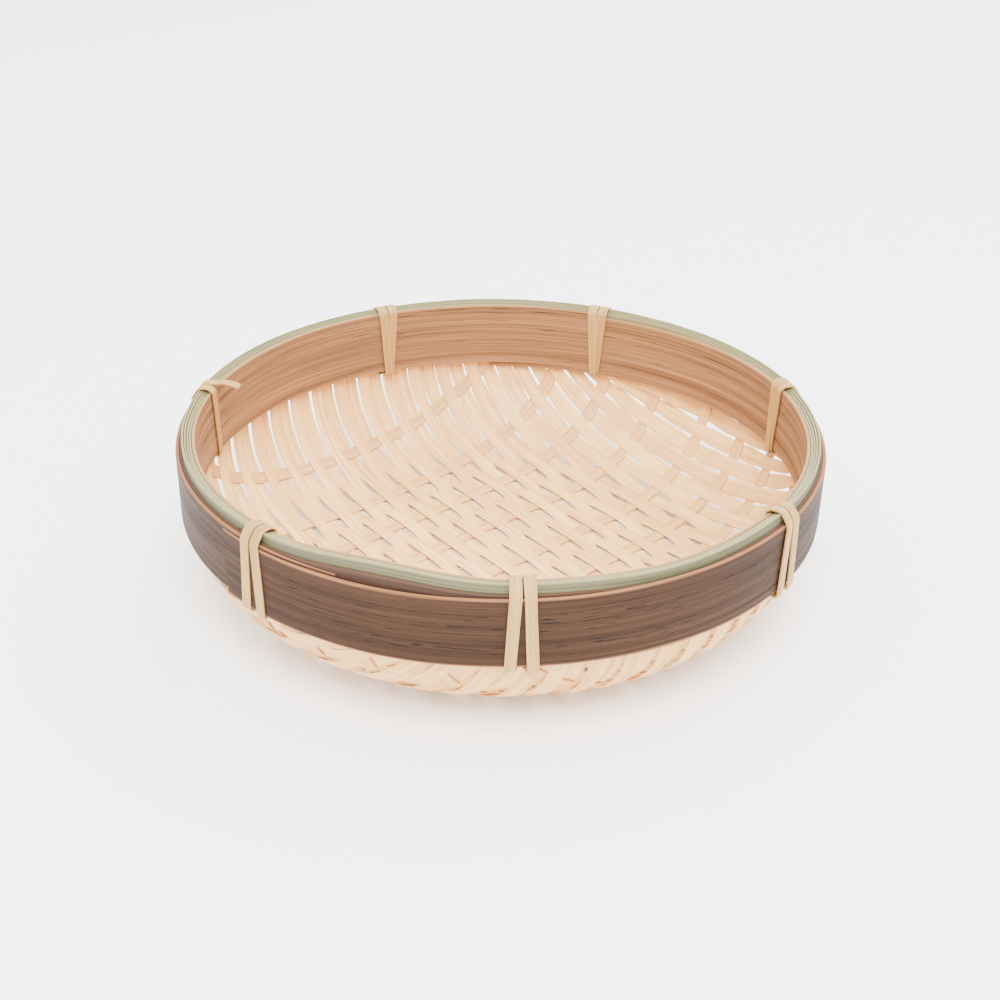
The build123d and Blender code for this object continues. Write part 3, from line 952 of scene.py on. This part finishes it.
@dataclass
class Rim(SubAssembly):
    """The bent hoops and the filler splints between them."""

    rim: RimSizes = field(default_factory=RimSizes)
    joints: tuple[float, ...] = tuple(TIE_ANGLES.values())
    lap_shift: float = 0.7  # how far round its lap the outer hoop's start lies past the tie
    relief: float = 0.055
    tall_hoop: float = 15.0  # a taller face gets more rows
    edge: float = 0.35  # how much of each edge is eased
    waves: int = 7  # the ridges are this many waves, added up

    def build(self) -> None:
        """Make the three hoops and the two filler pieces."""
        rim = self.rim
        wall = Wall(rim.outer_thickness / 2, rim.outer_thickness, rim.foot_z, rim.outer_height)
        start = TIE_ANGLES["front_left"] + self.lap_shift * rim.lap_angle
        outer = self._lapped("outer_hoop_skin", start, wall, rim.outer_lap_drop, Face.OUTSIDE)
        self.finish(outer, Slot.OUTER, "outer_hoop")
        depth = rim.outer_thickness + rim.clearance + rim.backing_thickness / 2
        height = rim.outer_height + rim.backing_rise + rim.backing_drop
        wall = Wall(depth, rim.backing_thickness, rim.foot_z - rim.backing_drop, height)
        # The backing hoop's dark finish is painted shade for the gap above the outer hoop.
        backing = self._open("backing_hoop_skin", self.joints[1], wall, 0.03, 0.0)
        self.finish(backing, Slot.BACKING, "backing_hoop")
        foot = rim.rim_z + rim.inner_rise - rim.inner_height
        depth = rim.inner_depth + rim.inner_thickness / 2
        wall = Wall(depth, rim.inner_thickness, foot, rim.inner_height)
        start = TIE_ANGLES["back_right"] + rim.lap_angle
        inner = self._lapped("inner_hoop_flesh", start, wall, rim.inner_lap_drop, Face.INSIDE)
        self.finish(inner, Slot.INNER, "inner_hoop")
        pitch = rim.clamp_gap / rim.filler_layers
        for half, node in enumerate(("filler_splints_outer", "filler_splints_inner")):
            rings = []
            for layer in (2 * half, 2 * half + 1):
                depth = rim.clamp_depth + pitch * (layer + 0.5)
                foot = rim.filler_top - rim.filler_height - rim.filler_step_down * layer
                wall = Wall(depth, pitch - rim.clearance, foot, rim.filler_height)
                rings.append(self._open(f"filler_{layer}", self.joints[layer], wall, 0.06, 1.0))
            self.finish(Workshop.join(node + "_strips", rings), Slot.FILLER, node)

    def _sweep(
        self,
        name: str,
        way: Array,
        angle: Array,
        depth: Array,
        wall: Array,
        middle: Array,
        tall: Array,
        face: Face,
        relief: float,
    ) -> Piece:
        """Sweep a rounded section with a ridged face round the rim.

        Args:
            name: the piece's name.
            way: angles gone round, from the start.
            angle: the same places' angles on the basket.
            depth: the wall's middle, inwards from the rim's outer face.
            wall: the wall's thickness.
            middle: the wall's middle height.
            tall: the wall's height.
            face: the side that shows the ridges.
            relief: the ridges' depth.

        Returns:
            The closed piece.
        """
        rng = self.rng(name)
        rim = self.rim
        lean = math.radians(rim.lean)
        height = float(tall.mean())
        rows, plain_rows = (34 if height > self.tall_hoop else 14), 5
        shown = np.linspace(0.5, -0.5, rows)
        hidden = np.linspace(-0.5, 0.5, plain_rows)
        out = np.concatenate([np.full(rows, 0.5), np.full(plain_rows, -0.5)]) * face.value
        up = np.concatenate([shown, hidden])
        on_shown = np.concatenate([np.ones(rows), np.zeros(plain_rows)])
        near_edge = 0.5 - np.abs(up)
        ease_in = 0.16 * np.clip(1 - near_edge * height / self.edge, 0, 1) ** 2
        length = np.radians(way) * rim.radius
        ridges = np.zeros((len(way), len(up)))
        for _ in range(self.waves):
            wave = rng.uniform(0.9, 3.6)
            phase = rng.uniform(0, 6.3) + wander(rng, length, rng.uniform(120, 400), 1.1)
            ridges += np.sin(up[None, :] * height * 2 * math.pi / wave + phase[:, None]) / self.waves
        steps = np.tanh(ridges * 6) * relief * np.minimum(wall, 1.0)[:, None] * on_shown
        wave_top = wander(rng, length, 110, 0.1)
        across = wall[:, None] * out * (1 - ease_in / np.maximum(wall[:, None], 0.2)) + steps * face.value
        rise = up[None, :] * tall[:, None] + wave_top[:, None]
        radius = rim.at(depth, middle)[:, None] + across * math.cos(lean) + rise * math.sin(lean)
        z = middle[:, None] - across * math.sin(lean) + rise * math.cos(lean)
        places = around(radius, angle[:, None] * np.ones_like(radius), z)
        places = np.concatenate([places, places[:, :1]], axis=1)
        run = np.concatenate([up * height, [height * 0.5 + 1]])
        shift = [rng.uniform(0, room) for room in PATTERN_ROOM]
        side = np.concatenate([on_shown, [1.0]]) * 40
        pattern = np.broadcast_arrays(length[:, None] + shift[0], run + side + shift[1])
        uvs = np.stack(pattern, axis=-1)
        cut = np.concatenate([near_edge * height < 0.02, [True]]).astype(float)
        piece = Workshop.sheet(name, places, uvs * MM, np.broadcast_to(cut, places.shape[:2]))
        Workshop.close(piece, 0.002)
        Workshop.smooth(piece, 35)
        return piece

    def _lapped(
        self, name: str, start: float, size: Wall, drop: float, face: Face
    ) -> Piece:
        """A hoop whose shaved ends lie over each other.

        Args:
            name: the piece's name.
            start: the angle of the end that lies under.
            size: the wall's sizes.
            drop: how far one end sags.
            face: the side that the last end lies on.

        Returns:
            The hoop.
        """
        rim = self.rim
        thickness, height = size.thickness, size.height
        tip = rim.lap_tip * thickness
        way = np.linspace(0, 360 + rim.lap_angle, 330)
        under = ease(way / rim.lap_angle)
        over = ease((way - 360) / rim.lap_angle)
        wall = (tip + (thickness - tip) * under) * (1 - over) + tip * over
        climb = ease((way - 360 + rim.lap_angle) / rim.lap_angle)
        rise = (tip + rim.clearance) * climb + (thickness - tip) * over
        if face is Face.INSIDE:
            sag = drop * (1 - ease(way / rim.drop_angle))
        else:
            sag = drop * ease((way - 360 + rim.drop_angle) / rim.drop_angle)
        depths = size.depth - face.value * ((wall - thickness) / 2 + rise)
        angle = start - way
        middle = size.foot + height / 2 - sag + (rim.creep(angle) if face is Face.INSIDE else 0.0)
        tall = np.full_like(way, height)
        return self._sweep(name, way, angle, depths, wall, middle, tall, face, self.relief)

    def _open(
        self, name: str, start: float, size: Wall, relief: float, foot_creep: float
    ) -> Piece:
        """A thin ring with a butt joint.

        Args:
            name: the piece's name.
            start: the joint's angle.
            size: the wall's sizes.
            relief: the ridges' depth.
            foot_creep: how much of the top's creep its foot shares.

        Returns:
            The ring.
        """
        joint = math.degrees(self.rim.clearance * 4 / self.rim.radius)
        way = np.linspace(joint, 360 - joint, 300)
        wall = np.full_like(way, size.thickness)
        creep = self.rim.creep(start + way)
        tall = size.height + creep * (1 - foot_creep)
        middle = size.foot + foot_creep * creep + tall / 2
        depths = np.full_like(way, size.depth)
        return self._sweep(name, way, start + way, depths, wall, middle, tall, Face.OUTSIDE, relief)


@dataclass
class Ties(SubAssembly):
    """Seven flat splint ties, each wound twice over the rim."""

    rim: RimSizes = field(default_factory=RimSizes)
    width: float = 3.5
    thickness: float = 0.5
    clearance: float = 0.35
    spread_top: float = 2.05
    spread_outside: float = 3.3
    spread_inside: float = 0.4
    stub: float = 1.6
    bend: float = 1.3
    bend_steps: int = 8
    loose: str = "left"
    tail_reach: float = 9.0
    tail_swing: float = 1.0
    tail_droop: float = 1.4

    def build(self) -> None:
        """Make each tie."""
        for name, angle in TIE_ANGLES.items():
            corners = self._loose_corners() if name == self.loose else self._corners()
            self.finish(self._strip(f"tie_{name}_strip", angle, corners), Slot.TIE, f"tie_{name}")

    @property
    def off(self) -> float:
        """From a hoop's face to the middle of the tie's thickness."""
        return self.clearance + self.thickness / 2

    @property
    def _inner_low(self) -> float:
        """Height at which a tie turns in under the inner hoop."""
        rim = self.rim
        return rim.rim_z + rim.inner_rise - rim.inner_height - self.off - rim.layer_gap

    def _turn(self, side: int, layer: int) -> list[Triple]:
        """One strand's corners, from outside bottom over the rim to inside bottom."""
        rim = self.rim
        low = rim.foot_z - rim.backing_drop - self.off - rim.layer_gap
        pitch = self.thickness + rim.layer_gap
        top = side * self.spread_top
        inner_top = rim.rim_z + rim.inner_rise
        inside = rim.at(rim.depth, rim.foot_z) - self.off - layer * pitch
        return [
            (rim.at(0, rim.foot_z) + self.off, side * self.spread_outside, low),
            (rim.at(0, rim.rim_z) + self.off, top, rim.rim_z + self.off / 2),
            (rim.at(rim.clamp_depth, rim.rim_z), top, rim.filler_top + self.off),
            (rim.at(rim.inner_depth, rim.rim_z), top, rim.filler_top + self.off),
            (rim.at(rim.depth, rim.rim_z) - self.off, top, inner_top + self.off / 2),
            (inside, side * self.spread_inside, self._inner_low - layer * pitch),
        ]

    def _corners(self) -> list[Triple]:
        """A whole tie's corners as (radius, way along the rim, height)."""
        first, second = self._turn(-1, 0), self._turn(1, 1)
        middle = (first[0][0] + first[-1][0]) / 2
        start = (middle, -self.spread_outside * 0.8, first[0][2])
        end = (first[-1][0] + self.stub, self.spread_inside, second[-1][2])
        return [start, *first, *second, end]

    def _loose_corners(self) -> list[Triple]:
        """The corners of the tie whose second winding stops on the rim as a loose tail."""
        first, over = self._turn(1, 0), self._turn(-1, 0)[:4]
        start = ((first[0][0] + first[-1][0]) / 2, self.spread_outside * 0.8, first[0][2])
        last = over[-1]
        half = (last[0] - self.tail_reach / 2, last[1] - self.tail_swing / 3, last[2] + self.off * 0.9)
        tail = (last[0] - self.tail_reach, last[1] - self.tail_swing, last[2] + self.off - self.tail_droop)
        return [start, *first, *over, half, tail]

    def _strip(self, name: str, angle: float, corners: list[Triple]) -> Piece:
        """Lay a strip through its corners, each one rounded."""
        rng = self.rng(name)
        points = [np.array(corner) for corner in corners]
        route = [points[0]]
        for before, corner, after in zip(points, points[1:], points[2:]):
            back, forth = before - corner, after - corner
            room = min(self.bend, np.linalg.norm(back) / 2.5, np.linalg.norm(forth) / 2.5)
            start = corner + unit(back) * room
            end = corner + unit(forth) * room
            last = route[-1]
            for share in (0.25, 0.5, 0.75):
                route.append(last + (start - last) * share)
            for i in range(self.bend_steps):
                t = i / (self.bend_steps - 1)
                route.append(start * (1 - t) ** 2 + corner * 2 * t * (1 - t) + end * t**2)
        route.append(points[-1])
        laid = np.array(route)
        degrees = angle + np.degrees(laid[:, 1] / self.rim.radius)
        places = around(laid[:, 0], degrees, laid[:, 2])
        rim_way = around(1.0, angle + 90.0, 0.0)
        along = along_of(places)
        across = unit(rim_way - along * (along @ rim_way)[:, None])
        way = np.concatenate([[0.0], np.cumsum(np.linalg.norm(np.diff(places, axis=0), axis=1))])
        pinch = np.clip((self.rim.rim_z - laid[:, 2]) / self.rim.outer_height, 0, 1)
        inside = laid[:, 0] < self.rim.at(self.rim.depth, self.rim.rim_z) + 0.1
        widths = self.width + wander(rng, way, 40, 0.18) - 0.75 * pinch * inside
        return Workshop.strip(name, places, across, widths, self.thickness, rng, 0.07)


# ---------- the studio ----------
@dataclass
class Studio:
    """A pale floor, soft light and the camera."""

    distance: float = 0.5289
    elevation: float = 26.33
    azimuth: float = -37.6
    tilt: float = 2.61
    roll: float = 0.99
    focal: float = 58.1

    def build(self, low: Vector, rim_z: float) -> None:
        """Set up the floor, the lights and the camera.

        Args:
            low: the object's lowest corner.
            rim_z: height of the rim's top edge, in metres.
        """
        self._floor(low.z)
        self._lights(rim_z)
        self._camera(rim_z)

    def _floor(self, z: float) -> None:
        """A large pale floor just under the basket."""
        Workshop.clear_selection()
        bpy.ops.mesh.primitive_plane_add(size=12, location=(0, 0, z))
        floor = bpy.context.object
        floor.name = "studio_floor"
        bpy.ops.object.transform_apply(location=True)
        material = bpy.data.materials.new("studio_paper")
        material.use_nodes = True
        shader = material.node_tree.nodes["Principled BSDF"]
        shader.inputs["Base Color"].default_value = (0.93, 0.93, 0.93, 1)
        shader.inputs["Roughness"].default_value = 0.95
        shader.inputs["Specular IOR Level"].default_value = 0.1
        floor.data.materials.append(material)

    def _lights(self, rim_z: float) -> None:
        """A bright sky all round and two large soft lights."""
        world = bpy.data.worlds.new("studio_sky")
        world.use_nodes = True
        background = world.node_tree.nodes["Background"]
        background.inputs["Color"].default_value = (1.0, 0.995, 0.985, 1)
        background.inputs["Strength"].default_value = 3.3
        bpy.context.scene.world = world
        target = Vector((0, 0, rim_z))
        for name, place, size, power in (
            ("key_light", (-0.55, -0.75, 1.5), 0.9, 85.0),
            ("fill_light", (1.1, 0.4, 1.2), 1.2, 26.0),
        ):
            light = bpy.data.lights.new(name, "AREA")
            light.size = size
            light.energy = power
            lamp = bpy.data.objects.new(name, light)
            bpy.context.scene.collection.objects.link(lamp)
            lamp.location = place
            lamp.rotation_euler = (target - Vector(place)).to_track_quat("-Z", "Y").to_euler()

    def _camera(self, rim_z: float) -> None:
        """The camera, looking down at the basket from its front left."""
        data = bpy.data.cameras.new("camera")
        data.lens = self.focal
        data.sensor_width = 36.0
        camera = bpy.data.objects.new("camera", data)
        bpy.context.scene.collection.objects.link(camera)
        azimuth, elevation = math.radians(self.azimuth), math.radians(self.elevation)
        back = Vector(
            (
                math.sin(azimuth) * math.cos(elevation),
                -math.cos(azimuth) * math.cos(elevation),
                math.sin(elevation),
            )
        )
        camera.location = Vector((0, 0, rim_z)) + back * self.distance
        aim = Euler((math.radians(90 - self.elevation - self.tilt), 0, azimuth), "XYZ").to_matrix()
        roll = Euler((0, 0, math.radians(self.roll)), "XYZ").to_matrix()
        camera.rotation_euler = (aim @ roll).to_euler()
        bpy.context.scene.camera = camera


def main() -> None:
    """Build the basket and its studio."""
    logging.basicConfig(level=logging.INFO, format="%(name)s: %(message)s")
    effects = Effects()
    materials = {slot: finish.build(effects) for slot, finish in FINISHES.items()}
    parts = (Weave(materials), Rim(materials), Ties(materials))
    for part in parts:
        part.build()
    LOG.info("%d pieces", sum(len(part.pieces) for part in parts))
    Studio().build(CAD_BOUNDS[0], RimSizes().rim_z * MM)


if __name__ == "__main__":
    main()
